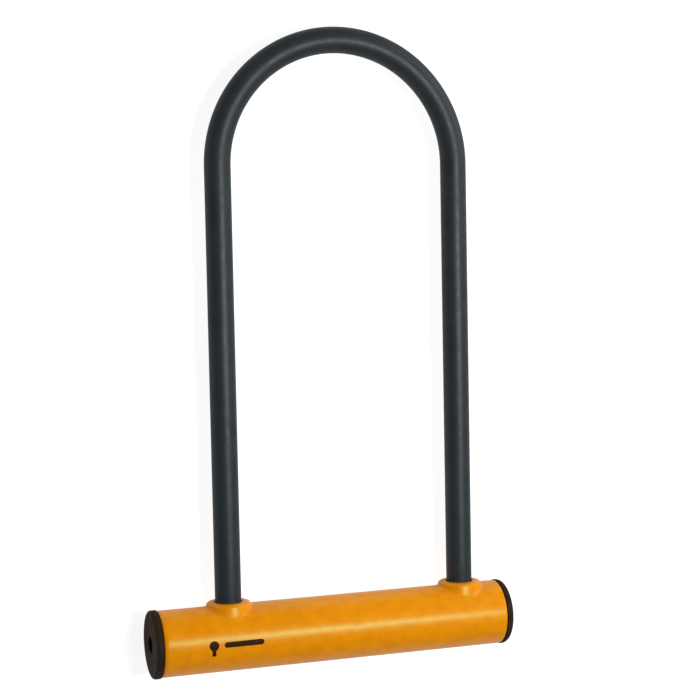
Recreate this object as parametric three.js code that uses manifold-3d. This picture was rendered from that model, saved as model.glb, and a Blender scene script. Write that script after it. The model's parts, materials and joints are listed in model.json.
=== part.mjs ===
// U-lock for a bicycle: a U-shaped shackle whose two feet go down through collars into a crossbar.
// Inside the crossbar a pin-tumbler cylinder turns an eccentric pin, and the pin slides a flat lock
// plate sideways into a notch in each foot, so one plate holds both feet.
//
// The pieces are drawn with the crossbar's axis on X, the key end at -X, the shackle's legs along +Z,
// the front at -Y and the middle between the legs at x = 0. The last group lays the whole lock on its
// back: +Y runs along the legs, +Z is out of the front, and the origin is on the surface that the lock
// lies on, under the middle of its outline. The lock is drawn open, with the shackle seated.
// Lengths are in millimetres.

import * as THREE from "three";
import { mergeVertices } from "three/addons/utils/BufferGeometryUtils.js";
import Module from "manifold-3d";

// ---- Driving dimensions ----

const GAP = 0.3; // clearance between neighbouring pieces
const REACH = 1; // how far a cutting shape passes the face that it cuts

const BAR_R = 5.9; // hardened shackle bar
const COAT_R = 7; // outside of the vinyl coat on the bar
const LEG_PITCH = 132; // between the axes of the two legs
const ARC_CENTRE_Z = 249.1; // centre of the bend, above the crossbar's axis
const FOOT_END_Z = -9.5; // lower end of each foot
const FOOT_CHAMFER = 1.1;
const NOTCH_SLACK = 0.4; // above and below the lock plate in a foot's notch

const SLEEVE_R = 17.5; // coloured sleeve of the crossbar
const SLEEVE_WALL = 1.3;
const SLEEVE_X = [-104.45, 87.5];
const TUBE_WALL = 2.5; // steel tube inside the sleeve
const COLLAR_R = 11.7; // collars that the legs go through
const COLLAR_TOP_Z = 19.2;
const COLLAR_LIP = 1.5;
const COLLAR_FOOT_Z = 8; // the collar starts inside the sleeve
const LEG_HOLE_Z = [5, 30]; // reach of the holes for the legs, through the top of the crossbar only

const BUSH_R = 7.7; // nylon ring that centres each foot
const BUSH_Z = [10.6, 13.9];
const FOOT_PAD_R = 5; // rubber pad under each foot
const FOOT_PAD_LOW_Z = -12.1;

const CAP_R = 18; // key-end cap
const CAP_FLANGE = 3.85;
const CAP_ROUND = 1.5;
const BLIND_CAP_R = 17.8;
const BLIND_CAP_FLANGE = 4.05;
const BLIND_CAP_ROUND = 2.5;
const SPIGOT_WALL = 2.1;
const SPIGOT_LENGTH = 3.6;
const KEYHOLE_R = 4.5;
const KEYHOLE_CHAMFER = 0.5;
const END_PLUG_X = [77.5, 83.5]; // steel disc behind the blind-end cap
const RIVET_R = 1.6;
const RIVET_TOP_Z = -9;
const RIVET_SINK = 0.4; // its head lies this far inside the tube's surface
const CYLINDER_RIVET_X = -92;

const PLUG_R = 5.5; // turning plug of the lock cylinder
const PLUG_X = [-102.6, -80.3];
const PLUG_HEAD_R = 6.6;
const PLUG_HEAD_LENGTH = 1.45;
const GUARD_THICKNESS = 1.5; // hardened disc in front of the cylinder
const HOUSING_X = [-100.85, -83.8];
const PIN_COUNT = 5;
const PIN_PITCH = 3;
const FIRST_PIN_X = -98;
const PIN_R = 1.2;
const DRIVER_PIN_LENGTH = 2.8;
const CHAMBER_TOP_Z = 12.15; // underside of the spring cover
const COVER_INSET = [1.2, 0.8]; // from each end of the housing
const COVER_HALF_WIDTH = 1.9;
const COVER_THICKNESS = 0.8;
const SPRING_R = 0.9;
const SPRING_WIRE_R = 0.18;
const SPRING_TURNS = 4;
const KEYWAY_WIDTH = 2.2;
const KEYWAY_TOP = 2.2; // how far the keyway reaches past the plug's axis
const KEYWAY_PAST_PIN = 2; // how far it runs on behind the last pin
const PLUG_CHAMBER_FLOOR = 1; // from the plug's axis
const CLIP_GROOVE_R = 4.3;
const CLIP_GROOVE_WIDTH = 1.4;
const CLIP_R = 7;
const CLIP_OPENING_HALF = 2.6;
const KEY_PIN_LENGTHS = [2.9, 2.4, 2.7, 2.2, 2.6]; // cut to the key
const KEY_PIN_SINK = 0.1; // below the plug's surface

const CAM_R = 4.4; // disc on the end of the plug
const CAM_THICKNESS = 1.8;
const CAM_OVERLAP = 0.5; // of the tang and the pin into the disc
const TANG_HALF_WIDTH = 1.2; // tongue on the disc, in a slot in the plug's end
const TANG_HALF_HEIGHT = 4;
const TANG_LENGTH = 1.3;
const TAIL_PIN_R = 1.5; // eccentric pin on the disc
const TAIL_PIN_TIP_X = -75;
const PLATE_TRAVEL = 3.4; // sideways travel of the lock plate
const TAIL_PIN_OFFSET = PLATE_TRAVEL / Math.SQRT2; // the pin swings 45 degrees each side of upright
const PLATE_X = [-77.9, 74.9];
const PLATE_Y = [-8.7, 9.5];
const PLATE_Z = [0, 4];
const WINDOW_HALF = BAR_R + 0.4;
const PIN_SLOT_SLACK = 0.25;
const GUIDE_X = [42, 54]; // blocks above and below the lock plate, at each side

const CIRCLE_SIDES = 40; // facets round the crossbar
const COLLAR_SIDES = 24;
const PLUG_SIDES = 24;
const LEG_SIDES = 20; // facets round a leg
const BAR_SIDES = 16;
const PIN_SIDES = 12;
const WIRE_SIDES = 4;
const BEND_STEPS = 24; // straight pieces in the half-circle bend
const TURN_STEPS = 8; // straight pieces in a turn of a spring
const ROUND_STEPS = 3; // straight pieces in a rounded edge

// ---- Dimensions worked out from those ----

const LEG_X = LEG_PITCH / 2;
const TUBE_R = SLEEVE_R - SLEEVE_WALL - GAP;
const TUBE_INNER_R = TUBE_R - TUBE_WALL;
const CORE_R = TUBE_INNER_R - GAP; // anything that fits inside the tube
const KEY_CAP_X = SLEEVE_X[0] - GAP - CAP_FLANGE;
const BLIND_CAP_X = SLEEVE_X[1] + GAP + BLIND_CAP_FLANGE;
const LOCK_LENGTH = CAP_R + ARC_CENTRE_Z + LEG_X + COAT_R; // from the crossbar's edge to the bend
const COLLAR_BORE_R = COAT_R + GAP;
const COAT_END_Z = BUSH_Z[1] + 0.4;
const PLUG_BORE_R = PLUG_R + GAP;
const CHAMBER_R = PIN_R + GAP;
const COVER_X = [HOUSING_X[0] + COVER_INSET[0], HOUSING_X[1] - COVER_INSET[1]];
const CLIP_GROOVE_X = [HOUSING_X[1] + GAP, HOUSING_X[1] + GAP + CLIP_GROOVE_WIDTH];
const END_PLUG_RIVET_X = (END_PLUG_X[0] + END_PLUG_X[1]) / 2;

const wasm = await Module();
wasm.setup();

// ---- Colours and surfaces ----

function surface(color, roughness, metalness) {
  return new THREE.MeshStandardMaterial({ color, roughness, metalness });
}

const orange = surface(0xe28f14, 0.45, 0);
const blackPlastic = surface(0x35302d, 0.6, 0);
const vinyl = surface(0x30383b, 0.5, 0);
const hardSteel = surface(0x9a9da0, 0.35, 1);
const plainSteel = surface(0x7f8488, 0.45, 1);
const springSteel = surface(0xb4b8bc, 0.3, 1);
const brass = surface(0xc29a4a, 0.35, 1);
const zinc = surface(0xa7a9ab, 0.5, 1);
const nylon = surface(0x23262a, 0.7, 0);
const rubber = surface(0x17181a, 0.9, 0);

// ---- Turning geometry into closed solids ----

// Shared vertices are merged, collapsed triangles dropped and the faces turned outwards.
function closed(geometry) {
  const bare = geometry.clone();
  bare.deleteAttribute("normal");
  bare.deleteAttribute("uv");
  const merged = mergeVertices(bare, 1e-5);
  const kept = [];
  const index = merged.index.array;
  for (let i = 0; i < index.length; i += 3) {
    const [a, b, c] = [index[i], index[i + 1], index[i + 2]];
    if (a !== b && b !== c && c !== a) kept.push(a, b, c);
  }
  if (volume(merged.attributes.position, kept) < 0) kept.reverse();
  merged.setIndex(kept);
  return merged;
}

function volume(position, index) {
  const [a, b, c] = [new THREE.Vector3(), new THREE.Vector3(), new THREE.Vector3()];
  let six = 0;
  for (let i = 0; i < index.length; i += 3) {
    a.fromBufferAttribute(position, index[i]);
    b.fromBufferAttribute(position, index[i + 1]);
    c.fromBufferAttribute(position, index[i + 2]);
    six += a.dot(b.cross(c));
  }
  return six / 6;
}

function toSolid(geometry) {
  const mesh = closed(geometry);
  return new wasm.Manifold(
    new wasm.Mesh({
      numProp: 3,
      vertProperties: new Float32Array(mesh.attributes.position.array),
      triVerts: new Uint32Array(mesh.index.array),
    })
  );
}

function toGeometry(solid) {
  const mesh = solid.getMesh();
  const geometry = new THREE.BufferGeometry();
  geometry.setAttribute("position", new THREE.BufferAttribute(new Float32Array(mesh.vertProperties), 3));
  geometry.setIndex(new THREE.BufferAttribute(new Uint32Array(mesh.triVerts), 1));
  return geometry;
}

function cut(body, ...tools) {
  return toGeometry(tools.reduce((solid, tool) => solid.subtract(toSolid(tool)), toSolid(body)));
}

function join(body, ...others) {
  return toGeometry(others.reduce((solid, other) => solid.add(toSolid(other)), toSolid(body)));
}

function common(body, other) {
  return toGeometry(toSolid(body).intersect(toSolid(other)));
}

// ---- Basic shapes ----

// A block between two values on each axis.
function block(x, y, z) {
  const box = new THREE.BoxGeometry(x[1] - x[0], y[1] - y[0], z[1] - z[0]);
  return box.translate((x[0] + x[1]) / 2, (y[0] + y[1]) / 2, (z[0] + z[1]) / 2);
}

// A closed profile of [along, radius] points turned about the X axis.
function turnedOnX(profile, sides = CIRCLE_SIDES) {
  const points = profile.map(([along, radius]) => new THREE.Vector2(radius, along));
  points.push(points[0].clone());
  return new THREE.LatheGeometry(points, sides).rotateZ(-Math.PI / 2);
}

// The same about the Z axis.
function turnedOnZ(profile, sides) {
  const points = profile.map(([along, radius]) => new THREE.Vector2(radius, along));
  points.push(points[0].clone());
  return new THREE.LatheGeometry(points, sides).rotateX(Math.PI / 2);
}

function rodOnX(x, radius, sides = CIRCLE_SIDES) {
  return turnedOnX([[x[0], 0], [x[0], radius], [x[1], radius], [x[1], 0]], sides);
}

function ringOnX(x, inner, outer, sides = CIRCLE_SIDES) {
  return turnedOnX([[x[0], inner], [x[0], outer], [x[1], outer], [x[1], inner]], sides);
}

function rodOnZ(z, radius, sides = LEG_SIDES) {
  return turnedOnZ([[z[0], 0], [z[0], radius], [z[1], radius], [z[1], 0]], sides);
}

function ringOnZ(z, inner, outer, sides = LEG_SIDES) {
  return turnedOnZ([[z[0], inner], [z[0], outer], [z[1], outer], [z[1], inner]], sides);
}

// Points on an arc in a profile, from one angle to another in degrees, about [along, radius].
function arc(centre, radius, from, to, steps) {
  return Array.from({ length: steps + 1 }, (_, i) => {
    const angle = THREE.MathUtils.degToRad(from + ((to - from) * i) / steps);
    return [centre[0] + radius * Math.cos(angle), centre[1] + radius * Math.sin(angle)];
  });
}

// ---- Shackle ----

// Up one leg, round the half-circle bend and down the other leg.
class ShacklePath extends THREE.Curve {
  constructor(lowZ) {
    super();
    this.legLength = ARC_CENTRE_Z - lowZ;
    this.lowZ = lowZ;
  }

  // The first and last steps run the whole length of a leg, and the others share the bend.
  getPointAt(t) {
    const step = t * (BEND_STEPS + 2);
    if (step < 1) return new THREE.Vector3(-LEG_X, 0, this.lowZ + this.legLength * step);
    if (step > BEND_STEPS + 1) {
      return new THREE.Vector3(LEG_X, 0, this.lowZ + this.legLength * (BEND_STEPS + 2 - step));
    }
    const angle = Math.PI * (1 - (step - 1) / BEND_STEPS);
    return new THREE.Vector3(LEG_X * Math.cos(angle), 0, ARC_CENTRE_Z + LEG_X * Math.sin(angle));
  }

  getTangentAt(t) {
    const share = THREE.MathUtils.clamp((t * (BEND_STEPS + 2) - 1) / BEND_STEPS, 0, 1);
    const angle = Math.PI * (1 - share);
    return new THREE.Vector3(Math.sin(angle), 0, -Math.cos(angle));
  }
}

function roundOutline(target, radius, sides) {
  for (let i = 0; i < sides; i += 1) {
    const angle = (2 * Math.PI * i) / sides;
    const [x, y] = [radius * Math.cos(angle), radius * Math.sin(angle)];
    if (i === 0) target.moveTo(x, y);
    else target.lineTo(x, y);
  }
  target.closePath();
  return target;
}

function sweepShackle(lowZ, outer, inner, sides) {
  const section = roundOutline(new THREE.Shape(), outer, sides);
  if (inner > 0) section.holes.push(roundOutline(new THREE.Path(), inner, sides));
  return new THREE.ExtrudeGeometry(section, {
    steps: BEND_STEPS + 2,
    extrudePath: new ShacklePath(lowZ),
    bevelEnabled: false,
  });
}

// The bar has a chamfered tip on each foot, and a notch that the lock plate slides into.
function shackleBar() {
  const tools = [];
  for (const side of [-1, 1]) {
    const chamfer = [
      [FOOT_END_Z - REACH, BAR_R - FOOT_CHAMFER - REACH],
      [FOOT_END_Z - REACH, BAR_R + REACH],
      [FOOT_END_Z + FOOT_CHAMFER + REACH, BAR_R + REACH],
    ];
    tools.push(turnedOnZ(chamfer, LEG_SIDES).translate(side * LEG_X, 0, 0));
    const floorY = WINDOW_HALF - PLATE_TRAVEL - GAP;
    const x = [side * LEG_X - 2 * BAR_R, side * LEG_X + 2 * BAR_R];
    tools.push(block(x, [floorY, 2 * BAR_R], [PLATE_Z[0] - NOTCH_SLACK, PLATE_Z[1] + NOTCH_SLACK]));
  }
  return cut(sweepShackle(FOOT_END_Z, BAR_R, 0, BAR_SIDES), ...tools);
}

function shackleCoat() {
  return sweepShackle(COAT_END_Z, COAT_R, BAR_R + GAP, LEG_SIDES);
}

// ---- Crossbar: sleeve, tube, caps and bushes ----

// A collar stands out of the sleeve and has a rounded lip round its bore.
function collar(side) {
  const profile = [
    [COLLAR_FOOT_Z, 0],
    [COLLAR_FOOT_Z, COLLAR_R],
    ...arc([COLLAR_TOP_Z - COLLAR_LIP, COLLAR_R - COLLAR_LIP], COLLAR_LIP, 90, 0, ROUND_STEPS),
    [COLLAR_TOP_Z, 0],
  ];
  return turnedOnZ(profile, COLLAR_SIDES).translate(side * LEG_X, 0, 0);
}

function sleeve() {
  const outside = join(rodOnX(SLEEVE_X, SLEEVE_R), collar(-1), collar(1));
  const inside = rodOnX([SLEEVE_X[0] - REACH, SLEEVE_X[1] + REACH], SLEEVE_R - SLEEVE_WALL);
  const bores = [-1, 1].map((side) => rodOnZ(LEG_HOLE_Z, COLLAR_BORE_R).translate(side * LEG_X, 0, 0));
  return cut(outside, inside, ...bores);
}

function innerTube() {
  const tube = ringOnX(SLEEVE_X, TUBE_INNER_R, TUBE_R);
  const holes = [-1, 1].map((side) => rodOnZ(LEG_HOLE_Z, BUSH_R + GAP).translate(side * LEG_X, 0, 0));
  const pinHoles = [CYLINDER_RIVET_X, END_PLUG_RIVET_X].map((x) => rivetHole(x));
  return cut(tube, ...holes, ...pinHoles);
}

function legBush(side) {
  return ringOnZ(BUSH_Z, BAR_R + GAP, BUSH_R).translate(side * LEG_X, 0, 0);
}

function footPad(side) {
  return rodOnZ([FOOT_PAD_LOW_Z, FOOT_END_Z - GAP], FOOT_PAD_R, BAR_SIDES).translate(side * LEG_X, 0, 0);
}

// The key-end cap is a flange with a round keyhole and a short spigot that presses into the tube.
function keyEndCap() {
  const inside = KEY_CAP_X + CAP_FLANGE;
  return turnedOnX([
    [KEY_CAP_X, KEYHOLE_R + KEYHOLE_CHAMFER],
    ...arc([KEY_CAP_X + CAP_ROUND, CAP_R - CAP_ROUND], CAP_ROUND, 180, 90, ROUND_STEPS),
    [inside, CAP_R],
    [inside, CORE_R],
    [inside + SPIGOT_LENGTH, CORE_R],
    [inside + SPIGOT_LENGTH, CORE_R - SPIGOT_WALL],
    [inside, CORE_R - SPIGOT_WALL],
    [inside, KEYHOLE_R],
    [KEY_CAP_X + KEYHOLE_CHAMFER, KEYHOLE_R],
  ]);
}

function blindEndCap() {
  const inside = BLIND_CAP_X - BLIND_CAP_FLANGE;
  const roundCentre = [BLIND_CAP_X - BLIND_CAP_ROUND, BLIND_CAP_R - BLIND_CAP_ROUND];
  return turnedOnX([
    [BLIND_CAP_X, 0],
    ...arc(roundCentre, BLIND_CAP_ROUND, 0, 90, ROUND_STEPS),
    [inside, BLIND_CAP_R],
    [inside, CORE_R],
    [inside - SPIGOT_LENGTH, CORE_R],
    [inside - SPIGOT_LENGTH, CORE_R - SPIGOT_WALL],
    [inside, CORE_R - SPIGOT_WALL],
    [inside, 0],
  ]);
}

// ---- Fixings through the underside of the tube ----

function rivet(x) {
  return rodOnZ([-TUBE_R + RIVET_SINK, RIVET_TOP_Z], RIVET_R, PIN_SIDES).translate(x, 0, 0);
}

function rivetHole(x) {
  return rodOnZ([-TUBE_R - REACH, RIVET_TOP_Z + GAP], RIVET_R + GAP, PIN_SIDES).translate(x, 0, 0);
}

// A steel disc backs the blind-end cap.
function endPlug() {
  return cut(rodOnX(END_PLUG_X, CORE_R), rivetHole(END_PLUG_RIVET_X));
}

// ---- Lock cylinder ----

// The hardened disc in front of the cylinder has a hole for the key.
function drillGuard() {
  const front = SLEEVE_X[0];
  return ringOnX([front, front + GUARD_THICKNESS], KEYHOLE_R, CORE_R - SPIGOT_WALL - GAP, PLUG_SIDES);
}

function pinX(i) {
  return FIRST_PIN_X + i * PIN_PITCH;
}

function cylinderHousing() {
  const chambers = Array.from({ length: PIN_COUNT }, (_, i) =>
    rodOnZ([PLUG_R, CORE_R + REACH], CHAMBER_R, PIN_SIDES).translate(pinX(i), 0, 0)
  );
  const bore = rodOnX([HOUSING_X[0] - REACH, HOUSING_X[1] + REACH], PLUG_BORE_R, PLUG_SIDES);
  const seatHalf = COVER_HALF_WIDTH + GAP;
  const seatX = [COVER_X[0] - GAP, COVER_X[1] + GAP];
  const coverSeat = block(seatX, [-seatHalf, seatHalf], [CHAMBER_TOP_Z - GAP, CORE_R + REACH]);
  return cut(rodOnX(HOUSING_X, CORE_R), bore, coverSeat, rivetHole(CYLINDER_RIVET_X), ...chambers);
}

function springCover() {
  const z = [CHAMBER_TOP_Z, CHAMBER_TOP_Z + COVER_THICKNESS];
  return block(COVER_X, [-COVER_HALF_WIDTH, COVER_HALF_WIDTH], z);
}

function driverPin(i) {
  const z = PLUG_R + GAP;
  return rodOnZ([z, z + DRIVER_PIN_LENGTH], PIN_R, PIN_SIDES).translate(pinX(i), 0, 0);
}

// A wound spring between a driver pin and the spring cover.
class SpringPath extends THREE.Curve {
  getPoint(t) {
    const low = PLUG_R + 2 * GAP + DRIVER_PIN_LENGTH + SPRING_WIRE_R;
    const high = CHAMBER_TOP_Z - 2 * SPRING_WIRE_R;
    const angle = 2 * Math.PI * SPRING_TURNS * t;
    return new THREE.Vector3(
      SPRING_R * Math.cos(angle),
      SPRING_R * Math.sin(angle),
      low + (high - low) * t
    );
  }
}

function pinSpring(i) {
  const wire = roundOutline(new THREE.Shape(), SPRING_WIRE_R, WIRE_SIDES);
  const coil = new THREE.ExtrudeGeometry(wire, {
    steps: SPRING_TURNS * TURN_STEPS,
    extrudePath: new SpringPath(),
    bevelEnabled: false,
  });
  return coil.translate(pinX(i), 0, 0);
}

// With the lock open the key pins' chambers point to +Y, and the keyway opens at -Y.
function plug() {
  const body = turnedOnX(
    [
      [PLUG_X[0], 0],
      [PLUG_X[0], PLUG_HEAD_R],
      [PLUG_X[0] + PLUG_HEAD_LENGTH, PLUG_HEAD_R],
      [PLUG_X[0] + PLUG_HEAD_LENGTH, PLUG_R],
      [CLIP_GROOVE_X[0], PLUG_R],
      [CLIP_GROOVE_X[0], CLIP_GROOVE_R],
      [CLIP_GROOVE_X[1], CLIP_GROOVE_R],
      [CLIP_GROOVE_X[1], PLUG_R],
      [PLUG_X[1], PLUG_R],
      [PLUG_X[1], 0],
    ],
    PLUG_SIDES
  );
  const past = PLUG_HEAD_R + REACH;
  const keywayX = [PLUG_X[0] - REACH, pinX(PIN_COUNT - 1) + KEYWAY_PAST_PIN];
  const keyway = block(keywayX, [-past, KEYWAY_TOP], [-KEYWAY_WIDTH / 2, KEYWAY_WIDTH / 2]);
  const chambers = Array.from({ length: PIN_COUNT }, (_, i) =>
    rodOnZ([PLUG_CHAMBER_FLOOR, past], CHAMBER_R, PIN_SIDES).rotateX(-Math.PI / 2).translate(pinX(i), 0, 0)
  );
  const slotX = [PLUG_X[1] - TANG_LENGTH - GAP, PLUG_X[1] + REACH];
  const slotHalf = TANG_HALF_WIDTH + GAP;
  const tangSlot = block(slotX, [-past, past], [-slotHalf, slotHalf]);
  return cut(body, keyway, tangSlot, ...chambers);
}

// Each key pin's outer end is flush with the plug, and its inner end reaches towards the key.
function keyPin(i) {
  const outer = PLUG_R - KEY_PIN_SINK;
  const pin = rodOnZ([outer - KEY_PIN_LENGTHS[i], outer], PIN_R, PIN_SIDES);
  return pin.rotateX(-Math.PI / 2).translate(pinX(i), 0, 0);
}

function plugClip() {
  const x = [CLIP_GROOVE_X[0] + GAP, CLIP_GROOVE_X[1] - GAP];
  const openingX = [x[0] - REACH, x[1] + REACH];
  const opening = block(openingX, [-CLIP_OPENING_HALF, CLIP_OPENING_HALF], [-CLIP_R - REACH, 0]);
  return cut(ringOnX(x, CLIP_GROOVE_R + GAP, CLIP_R, PLUG_SIDES), opening);
}

// The cam's tang sits in the plug's end slot, and its eccentric pin works the lock plate.
function tailCam() {
  const discX = [PLUG_X[1] + GAP, PLUG_X[1] + GAP + CAM_THICKNESS];
  const tang = block(
    [PLUG_X[1] - TANG_LENGTH, discX[0] + CAM_OVERLAP],
    [-TANG_HALF_HEIGHT, TANG_HALF_HEIGHT],
    [-TANG_HALF_WIDTH, TANG_HALF_WIDTH]
  );
  const pin = rodOnX([discX[1] - CAM_OVERLAP, TAIL_PIN_TIP_X], TAIL_PIN_R, PIN_SIDES);
  pin.translate(0, 0, TAIL_PIN_OFFSET).rotateX(-Math.PI / 4);
  return join(rodOnX(discX, CAM_R, LEG_SIDES), tang, pin);
}

// ---- Lock plate and its guides ----

// A window in the plate is round on the side away from the notch and square on the other.
function footWindow(side) {
  const z = [PLATE_Z[0] - REACH, PLATE_Z[1] + REACH];
  const round = rodOnZ(z, WINDOW_HALF);
  const square = block([-WINDOW_HALF, WINDOW_HALF], [0, WINDOW_HALF], z);
  return join(round, square).translate(side * LEG_X, 0, 0);
}

function lockPlate() {
  const startY = PLATE_TRAVEL / 2;
  const half = TAIL_PIN_R + PIN_SLOT_SLACK;
  const slotX = [PLATE_X[0] - REACH, TAIL_PIN_TIP_X + GAP];
  const slotZ = [PLATE_Z[0] - REACH, PLATE_Z[1] + REACH];
  const pinSlot = block(slotX, [startY - half, startY + half], slotZ);
  return cut(block(PLATE_X, PLATE_Y, PLATE_Z), pinSlot, footWindow(-1), footWindow(1));
}

// Half-round blocks fill the tube above and below the plate, clear of the feet.
function guideBlock(side, upper) {
  const x = side > 0 ? GUIDE_X : [-GUIDE_X[1], -GUIDE_X[0]];
  const past = CORE_R + REACH;
  const z = upper ? [PLATE_Z[1] + GAP, past] : [-past, PLATE_Z[0] - GAP];
  return common(rodOnX(x, CORE_R), block([x[0] - REACH, x[1] + REACH], [-past, past], z));
}

// ---- The whole lock ----

function named(name, geometry, material) {
  const mesh = new THREE.Mesh(closed(geometry), material);
  mesh.name = name;
  return mesh;
}

function crossbar() {
  const group = new THREE.Group();
  group.add(
    named("sleeve", sleeve(), orange),
    named("inner_tube", innerTube(), plainSteel),
    named("key_end_cap", keyEndCap(), blackPlastic),
    named("blind_end_cap", blindEndCap(), blackPlastic),
    named("blind_end_plug", endPlug(), hardSteel),
    named("blind_end_rivet", rivet(END_PLUG_RIVET_X), plainSteel)
  );
  for (const [end, side] of [["key_side", -1], ["blind_side", 1]]) {
    group.add(
      named(`leg_bush_${end}`, legBush(side), nylon),
      named(`foot_pad_${end}`, footPad(side), rubber),
      named(`plate_guide_upper_${end}`, guideBlock(side, true), nylon),
      named(`plate_guide_lower_${end}`, guideBlock(side, false), nylon)
    );
  }
  return group;
}

function lockCylinder() {
  const group = new THREE.Group();
  group.add(
    named("drill_guard", drillGuard(), hardSteel),
    named("cylinder_housing", cylinderHousing(), zinc),
    named("cylinder_rivet", rivet(CYLINDER_RIVET_X), plainSteel),
    named("spring_cover", springCover(), brass),
    named("plug", plug(), brass),
    named("plug_clip", plugClip(), springSteel),
    named("tail_cam", tailCam(), hardSteel)
  );
  for (let i = 0; i < PIN_COUNT; i += 1) {
    group.add(
      named(`driver_pin_${i + 1}`, driverPin(i), plainSteel),
      named(`key_pin_${i + 1}`, keyPin(i), brass),
      named(`pin_spring_${i + 1}`, pinSpring(i), springSteel)
    );
  }
  return group;
}

function shackle() {
  const group = new THREE.Group();
  group.add(
    named("shackle_bar", shackleBar(), hardSteel),
    named("shackle_coat", shackleCoat(), vinyl)
  );
  return group;
}

const lock = new THREE.Group();
lock.add(crossbar(), lockCylinder(), named("lock_plate", lockPlate(), hardSteel), shackle());
lock.rotation.x = -Math.PI / 2; // it lies on its back, front up, with the legs along +Y
lock.position.set(-(KEY_CAP_X + BLIND_CAP_X) / 2, CAP_R - LOCK_LENGTH / 2, CAP_R);
lock.updateMatrixWorld(true);

export default lock;
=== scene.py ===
"""Looks for the U-lock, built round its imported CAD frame.

In the CAD frame the lock lies on its back on the floor. The shapes here are drawn with the lock stood
up instead, in metres: X runs along the crossbar with the keyhole at -X, the front faces -Y, and Z runs up
the shackle's legs from the crossbar's underside. laid() takes a place from there to the CAD frame.
"""

import json
import math

import bmesh
import bpy
from mathutils import Matrix, Vector


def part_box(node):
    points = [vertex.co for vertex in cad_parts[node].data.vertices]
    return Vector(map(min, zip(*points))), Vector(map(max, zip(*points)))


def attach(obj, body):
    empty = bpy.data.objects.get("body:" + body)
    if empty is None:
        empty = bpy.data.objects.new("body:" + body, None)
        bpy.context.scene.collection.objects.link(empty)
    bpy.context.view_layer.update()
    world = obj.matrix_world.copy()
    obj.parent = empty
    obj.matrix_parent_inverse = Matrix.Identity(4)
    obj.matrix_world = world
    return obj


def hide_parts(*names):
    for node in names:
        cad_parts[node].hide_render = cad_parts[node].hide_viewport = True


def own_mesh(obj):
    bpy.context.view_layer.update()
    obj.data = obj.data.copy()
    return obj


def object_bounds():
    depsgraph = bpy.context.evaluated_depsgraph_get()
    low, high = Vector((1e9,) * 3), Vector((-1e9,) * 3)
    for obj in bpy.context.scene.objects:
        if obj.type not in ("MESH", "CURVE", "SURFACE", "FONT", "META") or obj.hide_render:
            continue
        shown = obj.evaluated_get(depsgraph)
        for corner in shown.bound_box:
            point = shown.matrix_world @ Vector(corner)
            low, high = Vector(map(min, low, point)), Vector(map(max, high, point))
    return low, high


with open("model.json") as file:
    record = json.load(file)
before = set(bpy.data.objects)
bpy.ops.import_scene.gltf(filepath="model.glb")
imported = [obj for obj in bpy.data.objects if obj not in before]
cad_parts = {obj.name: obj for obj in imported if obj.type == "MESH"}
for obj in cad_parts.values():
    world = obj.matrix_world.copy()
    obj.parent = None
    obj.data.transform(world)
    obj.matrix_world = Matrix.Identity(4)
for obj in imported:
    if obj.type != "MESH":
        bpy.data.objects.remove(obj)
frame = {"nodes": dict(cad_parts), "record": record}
cad_low, cad_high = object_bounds()

MM = 0.001

# ---- Places and sizes, read from the frame ----


def laid(point):
    """A place on the lock stood up, as the same place on the lock laid down."""
    x, y, z = point
    return Vector((x, cad_low.y + z, (cad_low.z + cad_high.z) / 2 - y))


def laid_way(way):
    """A direction on the lock stood up, as the same direction on the lock laid down."""
    x, y, z = way
    return Vector((x, z, -y))


def stood_box(node):
    """The two corners of a CAD node's box, on the lock stood up."""
    low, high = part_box(node)
    middle = (cad_low.z + cad_high.z) / 2
    stood_low = Vector((low.x, middle - high.z, low.y - cad_low.y))
    stood_high = Vector((high.x, middle - low.z, high.y - cad_low.y))
    return stood_low, stood_high


sleeve_low, sleeve_high = stood_box("sleeve")
coat_low, coat_high = stood_box("shackle_coat")
bar_low, bar_high = stood_box("shackle_bar")
key_cap_low, key_cap_high = stood_box("key_end_cap")
blind_cap_low, blind_cap_high = stood_box("blind_end_cap")
plate_low, plate_high = stood_box("lock_plate")
guard_low, guard_high = stood_box("drill_guard")
plug_low, plug_high = stood_box("plug")
clip_low, clip_high = stood_box("plug_clip")

SLEEVE_R = sleeve_high.y
AXIS_Z = sleeve_low.z + SLEEVE_R
COAT_R = coat_high.y
BAR_R = bar_high.y
LEG_SPREAD = (coat_high.x - coat_low.x) / 2 - COAT_R
MID_X = (coat_high.x + coat_low.x) / 2
LEG_XS = {"key_side": MID_X - LEG_SPREAD, "blind_side": MID_X + LEG_SPREAD}
BEND_Z = coat_high.z - COAT_R - LEG_SPREAD

# ---- Sizes that only the finer shapes need ----

GAP = 0.3 * MM
SLEEVE_WALL = 1.3 * MM
SLEEVE_END_BEVEL = 0.25 * MM
COLLAR_R = 11.7 * MM
COLLAR_FOOT_R = 13.7 * MM  # where the collar's fillet meets the sleeve
COLLAR_LIP = (3.2 * MM, 1.6 * MM)  # across and down
COLLAR_CROWN = 0.5 * MM  # how far the rounded lip rises towards the leg
COLLAR_DRAFT = math.tan(math.radians(9))  # lean of the collar's wall
COLLAR_FILLET = 1.4 * MM
COLLAR_SHARE = 0.48  # the most of a collar's height that its lip or its fillet may take
COLLAR_BORE_R = COAT_R + GAP
BORE_ROUND = 0.5 * MM
KEYHOLE_R = 4.5 * MM
KEYHOLE_ROUND = 0.6 * MM
KEYHOLE_RIM_DEPTH = 0.9 * MM  # from the cap's face to where the hole runs straight
KEY_CAP_EDGE = 1.5 * MM
BLIND_CAP_EDGE = 2.8 * MM
CAP_SHOULDER_ROUND = 0.25 * MM
SPIGOT_WALL = 2.1 * MM
NOTCH_SLACK = 0.4 * MM
NOTCH_DEPTH = 3.3 * MM
FOOT_CHAMFER = 1.1 * MM
COAT_END_ROUND = 0.4 * MM
RING_ROUND = 0.35 * MM

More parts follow.
